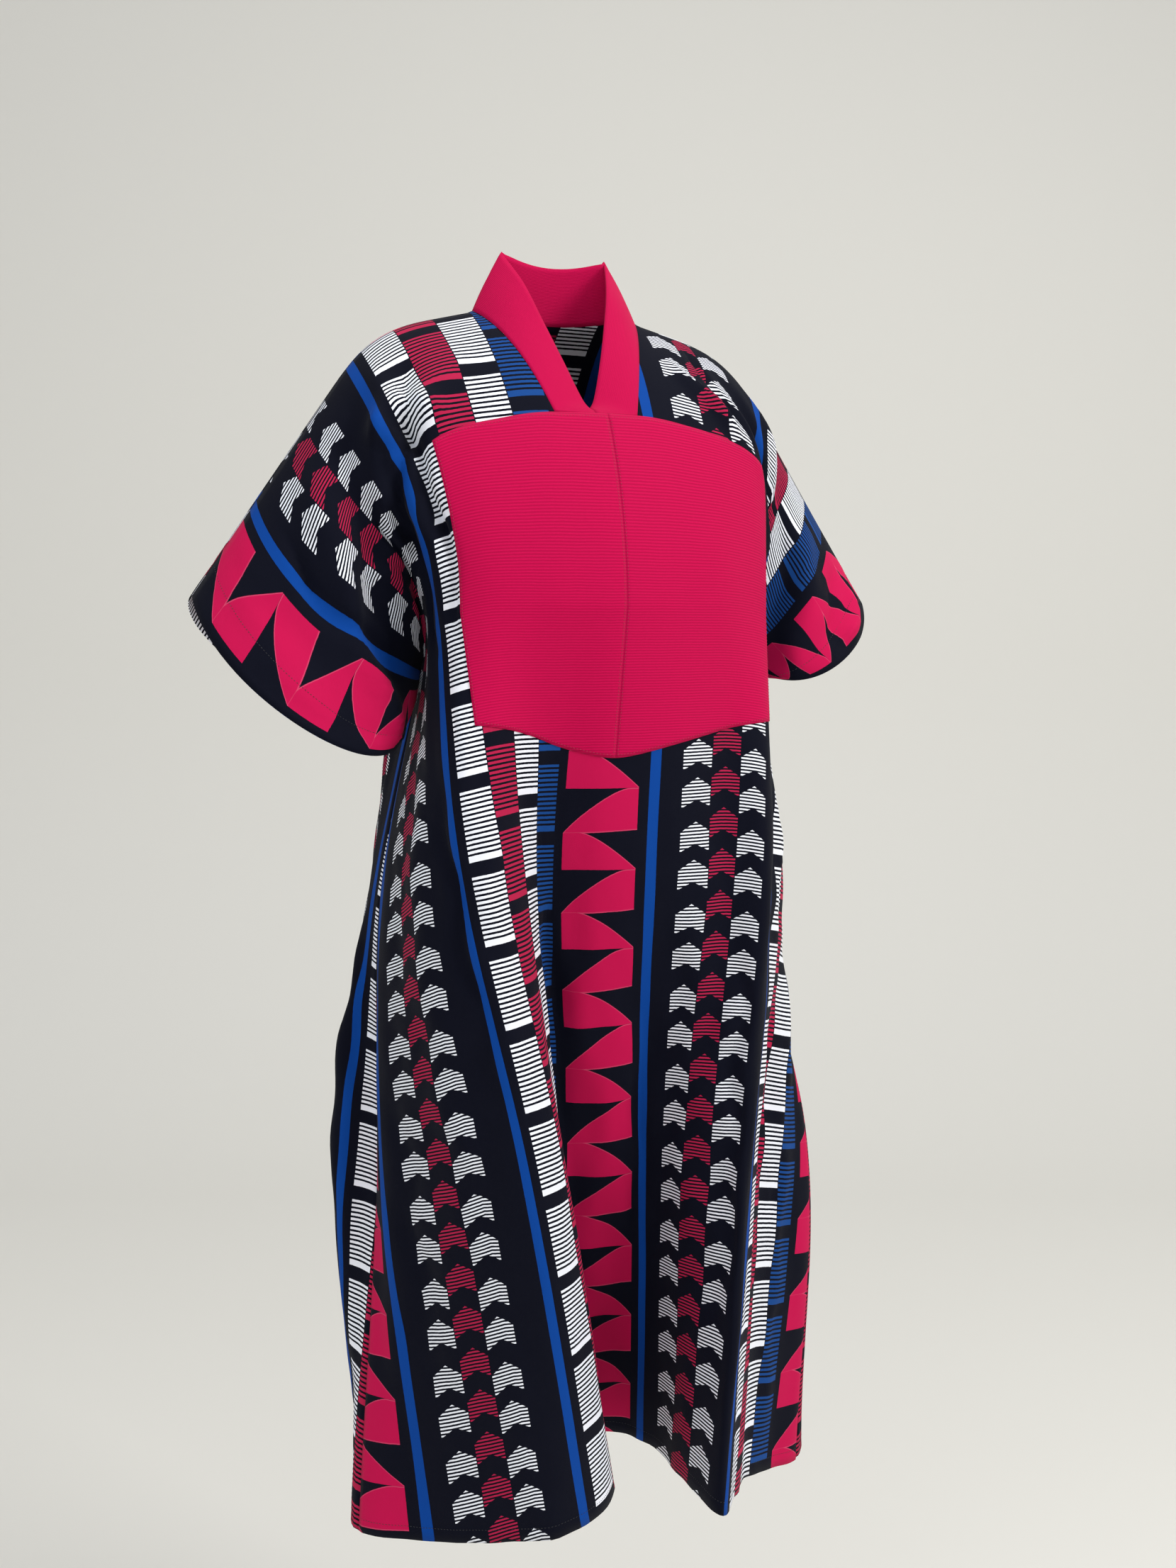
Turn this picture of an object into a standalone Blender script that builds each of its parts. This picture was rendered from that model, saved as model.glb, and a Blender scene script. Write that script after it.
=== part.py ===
"""Printed cotton boubou with short kimono sleeves, a ribbed bib and a band collar.

The cloth hangs as it is worn, hollow, on a general figure. Front and back are each cut in one
piece with their sleeve halves. A place on the cloth is given by its flat cut coordinates: u is
the distance across from the centre line, v the distance down from the shoulder line. Lengths
are in centimetres until they reach the mesh. The wearer faces -Y, +X is the wearer's left,
and the origin lies between the shoulders at the height of the neck base.
"""

from collections import namedtuple
from math import cos, radians, sin

import bmesh
import bpy
from mathutils import Vector

CM = 0.01
MERGE = 0.00001

# The flat cut.
HALF_SPAN = 53.0          # centre line to cuff edge
SLEEVE_DEPTH = 29.0       # shoulder line to underarm, on each panel
UNDERARM_HALF = 41.0      # centre line to underarm point
HEM_HALF = 49.0           # centre line to side seam at the hem
LENGTH = 115.0            # shoulder line to hem
NECK_HALF = 8.9           # centre line to neckline on the shoulder
NECK_FOOT_HALF = 4.7      # half width of the square foot of the front neckline, at the bib
BACK_NECK_DEPTH = 2.0
BIB_CENTRE = 1.25
BIB_HALF = 19.75
BIB_TOP = 13.0
BIB_TOP_FALL = 1.0        # the top edge is lower at its two corners
BIB_BOTTOM = 43.3
BIB_BOTTOM_RISE = 4.3     # the bottom edge rises to its two corners
BIB_POINT_ROUND = 2.0

# Cloth and clearances.
CLOTH = 0.12
COLLAR_CLOTH = 0.16
SEAM_GAP = 0.03           # between walls that meet edge to edge
SIDE_SEAM_GAP = 0.07      # between the same, where the cloth turns at the seam
TOP_SEAM_GAP = 0.12       # between mid walls that meet at a fold, along the shoulder line
UNDERARM_SEAM_GAP = 0.28
COLLAR_GAP = 0.22
BIB_CLEARANCE = 0.05

# Shoulder line: a level neck, the shoulder slope, then the slope of the hanging sleeve.
NECK_LEVEL = 0.6
SEAM_Y = 0.3
SHOULDER_SLOPE = 14.0
SLEEVE_EXTRA_SLOPE = 42.0
SLEEVE_TAKE_UP = 0.10     # share of the sleeve top taken up by small wrinkles
LINE_STEPS = 40

# How far the cloth beside the shoulder hangs below the cloth at the centre.
UNDERARM_DROP = 6.5
RIGHT_HEM_DROP = 3.0
LEFT_HEM_DROP = 4.4

# Heights, down the cloth, of the three lower columns of the fold table and of the hem.
LEVELS = (SLEEVE_DEPTH, 52.0, 80.0, LENGTH)

# One row for each crest, trough or turn of the front, from the right side seam to the left.
# top: flat place on the shoulder line. Other columns: flat place, then x and y.
Fold = namedtuple("Fold", "name top underarm waist thigh hem")
FRONT_FOLDS = (
    Fold("right side seam", -41.0, (-41.0, -13.7, 2.2), (-43.1, -17.8, 2.4),
         (-45.7, -17.7, 3.5), (-49.0, -20.4, 1.3)),
    Fold("right side front", -37.0, (-38.0, -14.1, 0.3), (-38.6, -18.2, -1.7),
         (-41.6, -18.6, -0.5), (-41.6, -15.0, -4.4)),
    Fold("right armpit", -31.0, (-32.0, -14.5, -2.3), (-33.2, -17.9, -6.3),
         (-35.0, -16.0, -7.2), (-33.2, -9.2, -9.3)),
    Fold("right front turn", -26.0, (-26.0, -15.3, -5.3), (-27.0, -16.8, -11.1),
         (-28.0, -12.3, -12.0), (-27.0, -5.0, -11.8)),
    Fold("right front crest", -22.0, (-21.5, -15.2, -9.0), (-22.0, -14.8, -13.6),
         (-22.0, -8.6, -14.6), (-21.5, -0.4, -10.6)),
    Fold("great fold edge", BIB_CENTRE - BIB_HALF, (-16.0, -12.8, -11.2), (-17.0, -10.9, -13.2),
         (-17.0, -4.9, -12.4), (-17.2, 3.3, -6.7)),
    Fold("great fold wall", -NECK_HALF, (-10.0, -7.7, -12.5), (-11.3, -6.9, -9.5),
         (-11.0, -2.9, -7.0), (-10.4, 2.0, -0.2)),
    Fold("trough right", -NECK_FOOT_HALF, (-5.0, -3.8, -13.1), (-5.5, -4.2, -8.6),
         (-5.0, -1.0, -3.7), (-4.2, 3.0, 5.2)),
    Fold("trough", BIB_CENTRE, (1.0, 1.0, -13.4), (0.5, 0.2, -10.6),
         (1.2, 3.9, -5.0), (1.9, 8.3, 3.6)),
    Fold("trough left", NECK_FOOT_HALF, (8.0, 7.4, -12.6), (8.0, 6.9, -11.3),
         (8.0, 8.2, -6.0), (7.6, 10.4, -0.2)),
    Fold("left fold wall", NECK_HALF, (14.0, 13.7, -11.0), (14.3, 13.0, -10.6),
         (15.6, 11.5, -10.6), (14.6, 10.2, -7.2)),
    Fold("left fold edge", BIB_CENTRE + BIB_HALF, (19.0, 19.1, -7.9), (20.3, 17.2, -12.2),
         (20.8, 14.4, -13.2), (22.6, 10.3, -15.0)),
    Fold("left front turn", 25.5, (25.0, 21.0, -4.2), (27.0, 20.8, -7.1),
         (28.0, 18.2, -8.5), (30.0, 14.3, -10.9)),
    Fold("left armpit", 30.5, (31.0, 19.2, -1.6), (32.6, 24.7, -3.0),
         (35.6, 22.6, -4.3), (37.0, 18.4, -5.8)),
    Fold("left side front", 36.5, (37.0, 18.8, 0.6), (38.6, 24.6, 2.0),
         (41.5, 26.1, -2.3), (43.0, 22.7, -3.3)),
    Fold("left side seam", 41.0, (41.0, 19.4, 2.2), (43.1, 24.0, 5.2),
         (45.7, 29.0, -0.4), (49.0, 27.5, -1.3)),
)

# The same for the back, from beside the left side seam to beside the right one.
BACK_FOLDS = (
    Fold("left back turn", 35.0, (35.0, 19.4, 5.6), (38.0, 24.4, 8.6),
         (41.0, 29.6, 3.6), (44.0, 30.0, 2.6)),
    Fold("left back hollow", 28.0, (28.0, 17.2, 8.6), (31.5, 20.4, 10.8),
         (34.0, 27.0, 8.6), (37.0, 27.0, 7.8)),
    Fold("left back trough", 21.0, (21.0, 15.0, 10.6), (24.5, 17.4, 12.4),
         (27.0, 21.4, 10.6), (29.0, 20.4, 9.4)),
    Fold("left back crest", 14.0, (14.0, 11.4, 12.6), (17.0, 14.4, 15.2),
         (19.0, 17.0, 15.4), (20.5, 17.4, 16.4)),
    Fold("left of centre", 7.5, (7.0, 6.6, 13.2), (9.0, 8.8, 14.2),
         (11.0, 11.4, 14.4), (12.0, 10.6, 16.8)),
    Fold("back trough", 1.0, (1.0, 1.4, 13.2), (2.0, 3.4, 13.2),
         (3.5, 4.8, 12.6), (4.5, 4.0, 12.4)),
    Fold("back crest", -6.0, (-6.0, -4.4, 13.2), (-6.0, -2.4, 15.6),
         (-5.0, -1.6, 17.2), (-5.0, -1.2, 20.4)),
    Fold("right of centre", -13.0, (-13.0, -9.6, 12.6), (-14.0, -8.4, 14.4),
         (-14.0, -8.2, 14.4), (-14.5, -9.4, 17.2)),
    Fold("right back trough", -20.0, (-20.0, -12.8, 11.0), (-21.0, -12.2, 12.0),
         (-22.0, -12.8, 11.6), (-22.0, -12.4, 11.4)),
    Fold("right back crest", -27.0, (-27.0, -13.9, 8.6), (-28.5, -15.4, 11.2),
         (-30.0, -17.4, 11.6), (-30.5, -15.0, 13.6)),
    Fold("right back turn", -34.0, (-34.0, -13.9, 5.8), (-36.0, -17.2, 7.0),
         (-38.5, -20.6, 7.2), (-40.0, -17.6, 7.4)),
)

# Sleeves, per side: the underarm corner of the cuff, and for each panel the way its cuff leaves
# the top corner and the way it comes in to the underarm corner.
Sleeve = namedtuple("Sleeve", "corner front_out front_in back_out back_in")
SLEEVES = {
    -1: Sleeve((-17.2, -1.2, -39.5), (-2, -36, -30), (1, 31, 26), (-2, 30, -12), (2, -30, 14)),
    1: Sleeve((22.6, -1.0, -35.5), (-10, -26, -16), (-3, 27, 10), (-4, 28, -8), (-3, -28, 10)),
}
CHEST_OUT = (0.0, 27.0, -14.0)     # how each panel leaves the shoulder line, y taken outwards
SLEEVE_BLEND = (14.0, 44.0)        # across this stretch the chest passes into the sleeve
UNDERARM_BLEND = (30.0, 50.0)

# Collar band: one row for each station of its right half, from the shoulder to the centre front.
# flat and down: the base on the neckline. x, y, z: the free edge.
CollarStation = namedtuple("CollarStation", "flat down x y z")
COLLAR_FRONT = (
    CollarStation(-NECK_HALF, 0.0, -5.6, 0.6, 6.1),
    CollarStation(-7.9, 3.1, -4.5, -2.2, 2.8),
    CollarStation(-6.8, 6.5, -3.3, -4.2, -1.2),
    CollarStation(-5.8, 9.6, -2.0, -6.0, -5.2),
    CollarStation(-NECK_FOOT_HALF, BIB_TOP, -0.7, -7.4, -8.9),
    CollarStation(0.0, BIB_TOP, 0.0, -7.9, -10.1),
)
COLLAR_BACK_RISE = 5.8
COLLAR_BACK_LEAN = 0.6
COLLAR_BACK_STATIONS = 9
COLLAR_BANDS = 3
COLLAR_SUBDIVIDE = 2

# Facets. Mesh columns run straight down the cloth to BIB_BOTTOM, then swing over to the folds.
FRONT_SUBDIVIDE = (3, 3, 2, 2, 2, 4, 3, 3, 2, 3, 5, 3, 2, 3, 3)
BACK_SUBDIVIDE = (3, 3, 3, 3, 3, 3, 3, 3, 3, 3, 3, 3)
SLEEVE_COLUMNS = 4
SWING_OVER = (44.0, 62.0)
TOP_ROWS = 3
CHEST_ROWS = 4
WAIST_ROWS = 3
SKIRT_ROWS = 11

RED = (0.62, 0.012, 0.10)
INK = (0.012, 0.014, 0.024)


def clear_scene():
    for item in list(bpy.data.objects):
        bpy.data.objects.remove(item, do_unlink=True)
    for group in list(bpy.data.collections):
        bpy.data.collections.remove(group)


def ease(t):
    t = min(max(t, 0.0), 1.0)
    return t * t * (3.0 - 2.0 * t)


def mix(a, b, share):
    return a + (b - a) * share


def hermite(start, leave, end, arrive, t):
    """Cubic from start to end, leaving and arriving with the given tangents."""
    return (start * (2 * t**3 - 3 * t**2 + 1) + leave * (t**3 - 2 * t**2 + t)
            + end * (3 * t**2 - 2 * t**3) + arrive * (t**3 - t**2))


def through(places, points, place):
    """Smooth curve through points set at rising places, read at one place."""
    last = len(places) - 1
    i = 0
    while i < last - 1 and place > places[i + 1]:
        i += 1

    def slope(k):
        if k == 0:
            return (points[1] - points[0]) / (places[1] - places[0])
        if k == last:
            return (points[last] - points[last - 1]) / (places[last] - places[last - 1])
        before = places[k] - places[k - 1]
        after = places[k + 1] - places[k]
        return ((points[k] - points[k - 1]) / before * after
                + (points[k + 1] - points[k]) / after * before) / (before + after)

    span = places[i + 1] - places[i]
    t = (place - places[i]) / span
    return hermite(points[i], slope(i) * span, points[i + 1], slope(i + 1) * span, t)


def side_half(v):
    """Centre line to side seam, on the flat, below the underarm."""
    return mix(UNDERARM_HALF, HEM_HALF, (v - SLEEVE_DEPTH) / (LENGTH - SLEEVE_DEPTH))


def fold_at(fold, v):
    """Flat place, x and y of one fold at a height."""
    columns = [Vector(c) for c in (fold.underarm, fold.waist, fold.thigh, fold.hem)]
    return through(LEVELS, columns, v)


def ring(v):
    """Flat places round the body, and plan points, of every fold at a height."""
    half = side_half(v)
    front = [fold_at(fold, v) for fold in FRONT_FOLDS]
    front[0][0] = -half
    front[-1][0] = half
    places = [p[0] for p in front]
    points = [Vector((p[1], p[2])) for p in front]
    for fold in BACK_FOLDS:
        p = fold_at(fold, v)
        places.append(2 * half - p[0])
        points.append(Vector((p[1], p[2])))
    round_length = 4 * half
    before = [p - round_length for p in places[-2:]]
    after = [p + round_length for p in places[:3]]
    return before + places + after, points[-2:] + points + points[:3]


RINGS = {}


def ring_point(u, v, face):
    key = round(v, 5)
    if key not in RINGS:
        RINGS[key] = ring(v)
    places, points = RINGS[key]
    half = side_half(v)
    place = u if face == "front" else 2 * half - u
    if place > 3 * half:
        place -= 4 * half
    return through(places, points, place)


def drop(u, v):
    """How far the cloth at u hangs below the centre."""
    hem_drop = RIGHT_HEM_DROP if u < 0 else LEFT_HEM_DROP
    share = ease((v - SLEEVE_DEPTH) / 60.0)
    start = mix(12.0, 18.0, share)
    return mix(UNDERARM_DROP, hem_drop, share) * ease((abs(u) - start) / 34.0)


def body_point(u, v, face):
    plan = ring_point(u, v, face)
    return Vector((plan.x, plan.y, -v - drop(u, v)))


def shoulder_point(u):
    """The shoulder and sleeve top seam, which every panel leaves."""
    side = -1 if u < 0 else 1
    step = abs(u) / LINE_STEPS
    x = 0.0
    z = NECK_LEVEL
    for k in range(LINE_STEPS):
        middle = (k + 0.5) * step
        slope = radians(SHOULDER_SLOPE * ease((middle - 4) / 6)
                        + SLEEVE_EXTRA_SLOPE * ease((middle - 13) / 13))
        length = step * (1 - SLEEVE_TAKE_UP * ease((middle - 18) / 10))
        x += length * cos(slope)
        z -= length * sin(slope)
    return Vector((side * x, SEAM_Y, z))


def yoke_point(u, v, face):
    """Chest, back and sleeve, between the shoulder line and the underarm."""
    side = -1 if u < 0 else 1
    out = -1.0 if face == "front" else 1.0
    across = abs(u)
    sleeve = SLEEVES[side]
    if across <= UNDERARM_HALF:
        foot = body_point(u, SLEEVE_DEPTH, face)
    else:
        armpit = body_point(side * UNDERARM_HALF, SLEEVE_DEPTH, face)
        share = (across - UNDERARM_HALF) / (HALF_SPAN - UNDERARM_HALF)
        foot = armpit.lerp(Vector(sleeve.corner), share)
    cuff_out = Vector(sleeve.front_out if face == "front" else sleeve.back_out)
    cuff_in = Vector(sleeve.front_in if face == "front" else sleeve.back_in)
    chest_out = Vector((CHEST_OUT[0], out * CHEST_OUT[1], CHEST_OUT[2]))
    chest_in = Vector((0, 0, -SLEEVE_DEPTH))
    low, high = SLEEVE_BLEND
    leave = chest_out.lerp(cuff_out, ease((across - low) / (high - low)))
    low, high = UNDERARM_BLEND
    arrive = chest_in.lerp(cuff_in, ease((across - low) / (high - low)))
    return hermite(shoulder_point(u), leave, foot, arrive, v / SLEEVE_DEPTH)


def seam_shift(u, v, face):
    """Draws each panel back from the seams where the two walls meet at an angle."""
    out = -1.0 if face == "front" else 1.0
    top = TOP_SEAM_GAP * (1 - ease(v / 4.0))
    if v <= SLEEVE_DEPTH:
        near = (1 - ease((SLEEVE_DEPTH - v) / 4.0)) * ease((abs(u) - 38.0) / 3.0)
    else:
        near = (1 - ease((v - 50.0) / 20.0)) * ease((abs(u) - side_half(v) + 3.0) / 3.0)
    return Vector((0, out * max(top, UNDERARM_SEAM_GAP * near) / 2, 0))


def cloth_point(u, v, face):
    if v <= SLEEVE_DEPTH:
        point = yoke_point(u, v, face)
    else:
        point = body_point(u, v, face)
    return point + seam_shift(u, v, face)


def cloth_normal(u, v, face):
    """Direction straight out of the cloth."""
    reach = 0.4
    across = cloth_point(u + reach, v, face) - cloth_point(u - reach, v, face)
    down = cloth_point(u, v + reach, face) - cloth_point(u, v - reach, face)
    normal = across.cross(down).normalized()
    if face == "front":
        return -normal
    return normal


def bib_share(u):
    """How far u lies from the centre of the bib to its side, no more than 1."""
    return min(abs(u - BIB_CENTRE) / BIB_HALF, 1.0)


def bib_top(u):
    return BIB_TOP + BIB_TOP_FALL * bib_share(u) ** 2


def bib_bottom(u):
    away = bib_share(u) * BIB_HALF
    rounded = (away**2 + BIB_POINT_ROUND**2) ** 0.5 - BIB_POINT_ROUND
    return BIB_BOTTOM - BIB_BOTTOM_RISE * rounded / BIB_HALF


def neck_edge(u, face):
    """Depth at which the cloth starts, below the shoulder line."""
    across = abs(u)
    if across >= NECK_HALF:
        return 0.0
    if face == "back":
        return BACK_NECK_DEPTH * (1 - (across / NECK_HALF) ** 2)
    share = (NECK_HALF - across) / (NECK_HALF - NECK_FOOT_HALF)
    return bib_top(u) * min(share, 1.0)


def columns_at(folds, subdivide, v):
    """Flat places of the mesh columns at a height, in order along the fold table."""
    low, high = SWING_OVER
    share = ease((v - low) / (high - low))
    places = []
    for fold in folds:
        flat = fold_at(fold, max(v, low))[0]
        places.append(mix(fold.top, flat, share))
    half = side_half(max(v, SLEEVE_DEPTH))
    side = -1 if places[0] < 0 else 1
    places[0] = side * half
    places[-1] = -side * half
    columns = []
    for start, end, count in zip(places, places[1:], subdivide):
        columns += [mix(start, end, k / count) for k in range(count)]
    return columns + [places[-1]]


def panel_rows(face):
    """Rows of flat places (u, v) of one panel: the yoke with its sleeves, then the skirt."""
    if face == "front":
        folds = FRONT_FOLDS
        subdivide = FRONT_SUBDIVIDE
    else:
        folds = FRONT_FOLDS[-1:] + BACK_FOLDS + FRONT_FOLDS[:1]
        subdivide = BACK_SUBDIVIDE
    side = -1 if folds[0].top < 0 else 1
    sleeve = [side * mix(HALF_SPAN, UNDERARM_HALF, k / SLEEVE_COLUMNS)
              for k in range(SLEEVE_COLUMNS)]
    rows = []

    def add_rows(count, start, end, with_sleeves):
        first = 0 if not rows else 1
        for j in range(first, count + 1):
            share = j / count
            middle = mix(start(HALF_SPAN), end(HALF_SPAN), share)
            body = columns_at(folds, subdivide, middle)
            line = sleeve + body + [-u for u in reversed(sleeve)]
            row = [(u, mix(start(u), end(u), share)) for u in line]
            if not with_sleeves:
                row[:SLEEVE_COLUMNS] = [None] * SLEEVE_COLUMNS
                row[-SLEEVE_COLUMNS:] = [None] * SLEEVE_COLUMNS
            rows.append(row)

    top = bib_top if face == "front" else lambda u: BIB_TOP
    bottom = bib_bottom if face == "front" else lambda u: BIB_BOTTOM - BIB_BOTTOM_RISE
    add_rows(TOP_ROWS, lambda u: neck_edge(u, face), top, True)
    add_rows(CHEST_ROWS, top, lambda u: SLEEVE_DEPTH, True)
    add_rows(WAIST_ROWS, lambda u: SLEEVE_DEPTH, bottom, False)
    add_rows(SKIRT_ROWS, bottom, lambda u: LENGTH, False)
    return rows


def trim_sides(row):
    """Draws the two ends of a skirt row back by half the gap at the side seam."""
    used = [k for k, place in enumerate(row) if place is not None]
    ends = (used[0], used[-1])
    trimmed = []
    for k, place in enumerate(row):
        if k in ends and place[1] >= SLEEVE_DEPTH:
            u, v = place
            place = (u - SIDE_SEAM_GAP / 2 * (1 if u > 0 else -1), v)
        trimmed.append(place)
    return trimmed


def panel_points(face):
    return [[cloth_point(*place, face) if place else None for place in trim_sides(row)]
            for row in panel_rows(face)]


def bib_points(half):
    """One half of the bib, from the front panel's own points moved out. -1 is the right half."""
    lift = CLOTH + BIB_CLEARANCE
    inner = BIB_CENTRE + half * SEAM_GAP / 2
    outer = BIB_CENTRE + half * BIB_HALF
    low, high = min(inner, outer), max(inner, outer)
    reach = 0.05
    points = []
    for row in panel_rows("front")[TOP_ROWS:TOP_ROWS + CHEST_ROWS + WAIST_ROWS + 1]:
        line = []
        for place in row:
            if place is None or not low - reach < place[0] < high + reach:
                continue
            u, v = place
            u = min(max(u, low), high)
            line.append(cloth_point(u, v, "front") + cloth_normal(u, v, "front") * lift)
        points.append(line)
    return points


def collar_stations():
    """Flat place of the base, its panel, and free edge point, from centre front round the neck."""
    right = []
    for station in reversed(COLLAR_FRONT):
        right.append(((station.flat, station.down), "front",
                      Vector((station.x, station.y, station.z))))
    shoulder_edge = right[-1][2]
    back = []
    for k in range(1, COLLAR_BACK_STATIONS + 1):
        share = k / (COLLAR_BACK_STATIONS + 1)
        u = mix(-NECK_HALF, NECK_HALF, share)
        base = cloth_point(u, neck_edge(u, "back"), "back")
        turn = sin(radians(180 * share))
        edge_x = shoulder_edge.x * cos(radians(180 * share))
        edge_y = mix(shoulder_edge.y, base.y - COLLAR_BACK_LEAN, turn)
        edge_z = mix(shoulder_edge.z, base.z + COLLAR_BACK_RISE, turn)
        back.append(((u, neck_edge(u, "back")), "back", Vector((edge_x, edge_y, edge_z))))
    left = []
    for station in COLLAR_FRONT:
        left.append(((-station.flat, station.down), "front",
                     Vector((-station.x, station.y, station.z))))
    return right + back + left


def collar_base(stations, place):
    """Point of the neckline between two stations."""
    k = min(int(place), len(stations) - 2)
    start, start_face, _ = stations[k]
    end, end_face, _ = stations[k + 1]
    face = "back" if "back" in (start_face, end_face) else "front"
    share = place - k
    return cloth_point(mix(start[0], end[0], share), mix(start[1], end[1], share), face)


def collar_points():
    """Rows from the base of the band to its free edge, set off the neckline by a small gap."""
    stations = collar_stations()
    edges = [station[2] for station in stations]
    last = len(stations) - 1
    places = list(range(last + 1))
    rows = []
    for j in range(COLLAR_BANDS + 1):
        row = []
        for k in range(COLLAR_SUBDIVIDE * last + 1):
            place = k / COLLAR_SUBDIVIDE
            base = collar_base(stations, place)
            edge = through(places, edges, place)
            start = COLLAR_GAP / (edge - base).length
            point = base.lerp(edge, mix(start, 1.0, j / COLLAR_BANDS))
            if place in (0, last):
                point.x = SEAM_GAP / 2 * (1 if place else -1)
            row.append(point)
        rows.append(row)
    return rows


def shell(name, rows, thickness, material, group):
    """A cloth wall of even thickness through rows of points, any of which may be missing."""
    mesh = bpy.data.meshes.new(name)
    work = bmesh.new()
    corners = [[work.verts.new(p * CM) if p is not None else None for p in row] for row in rows]
    for upper, lower in zip(corners, corners[1:]):
        for k in range(len(upper) - 1):
            quad = (upper[k], upper[k + 1], lower[k + 1], lower[k])
            if None not in quad:
                work.faces.new(quad)
    bmesh.ops.remove_doubles(work, verts=work.verts[:], dist=MERGE)
    bmesh.ops.triangulate(work, faces=work.faces[:], quad_method="FIXED")
    bmesh.ops.recalc_face_normals(work, faces=work.faces[:])
    work.to_mesh(mesh)
    work.free()
    mesh.shade_smooth()
    mesh.materials.append(material)
    item = bpy.data.objects.new(name, mesh)
    group.objects.link(item)
    wall = item.modifiers.new("wall", "SOLIDIFY")
    wall.thickness = thickness * CM
    wall.offset = 0.0
    wall.use_even_offset = True
    wall.use_rim = True
    return item


def cloth_material(name, colour, roughness):
    material = bpy.data.materials.new(name)
    material.use_nodes = True
    surface = material.node_tree.nodes["Principled BSDF"]
    surface.inputs["Base Color"].default_value = (*colour, 1.0)
    surface.inputs["Roughness"].default_value = roughness
    surface.inputs["Metallic"].default_value = 0.0
    return material


def build():
    clear_scene()
    group = bpy.data.collections.new("printed_boubou")
    bpy.context.scene.collection.children.link(group)
    shell("front_panel", panel_points("front"), CLOTH,
          cloth_material("front print", INK, 0.85), group)
    shell("back_panel", panel_points("back"), CLOTH,
          cloth_material("back print", INK, 0.85), group)
    shell("collar_band", collar_points(), COLLAR_CLOTH,
          cloth_material("collar red", RED, 0.8), group)
    shell("bib_right_half", bib_points(-1), CLOTH,
          cloth_material("bib right red", RED, 0.8), group)
    shell("bib_left_half", bib_points(1), CLOTH,
          cloth_material("bib left red", RED, 0.8), group)


build()
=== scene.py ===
from math import cos, pi, radians, sin

import bmesh
import bpy
import numpy as np
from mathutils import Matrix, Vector
from mathutils.bvhtree import BVHTree


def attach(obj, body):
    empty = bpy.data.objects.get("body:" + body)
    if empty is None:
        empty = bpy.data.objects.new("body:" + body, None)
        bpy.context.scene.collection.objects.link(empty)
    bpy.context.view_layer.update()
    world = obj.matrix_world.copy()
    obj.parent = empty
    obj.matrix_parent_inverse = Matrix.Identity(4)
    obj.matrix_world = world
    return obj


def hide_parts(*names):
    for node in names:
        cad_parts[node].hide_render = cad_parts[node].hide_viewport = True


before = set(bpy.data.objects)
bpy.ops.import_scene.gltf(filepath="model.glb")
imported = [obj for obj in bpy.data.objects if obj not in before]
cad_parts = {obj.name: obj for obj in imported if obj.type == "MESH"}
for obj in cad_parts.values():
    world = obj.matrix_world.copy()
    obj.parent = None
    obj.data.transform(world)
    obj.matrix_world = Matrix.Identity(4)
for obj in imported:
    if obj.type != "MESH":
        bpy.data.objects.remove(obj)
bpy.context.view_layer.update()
print("frame loaded:", len(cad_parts), "nodes")

cm = 0.01

# flat cut, in cm: u runs across from the centre line, v down from the shoulder line
cut = {
    "halfSpan": 53.0, "sleeveDepth": 29.0, "underarmHalf": 41.0, "hemHalf": 49.0, "length": 115.0,
    "neckHalf": 8.9, "neckFootHalf": 4.7, "backNeckDepth": 2.0,
    "bibCentre": 1.25, "bibHalf": 19.75, "bibTop": 13.0, "bibTopFall": 1.0,
    "bibBottom": 43.3, "bibBottomRise": 4.3, "bibPointRound": 2.0,
    "hemTurn": 1.2, "cuffTurn": 4.0,
}

# how the robe hangs on the shoulders
hang = {
    "neckLevel": 0.6, "seamY": 0.3, "shoulderSlope": 14.0, "shoulderBend": (4.0, 10.0),
    "sleeveSlope": 42.0, "sleeveBend": (13.0, 26.0), "takeUp": 0.10, "takeUpOver": (18.0, 28.0),
    "underarmDrop": 6.5, "rightHemDrop": 3.0, "leftHemDrop": 4.4, "dropOver": (29.0, 89.0),
    "sagFrom": (12.0, 18.0), "sagOver": 34.0, "levels": (29.0, 52.0, 80.0, 115.0),
    "chestOut": (27.0, -14.0),
    "sleeveBlend": (14.0, 44.0), "underarmBlend": (30.0, 50.0), "swingOver": (44.0, 62.0),
}

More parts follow.
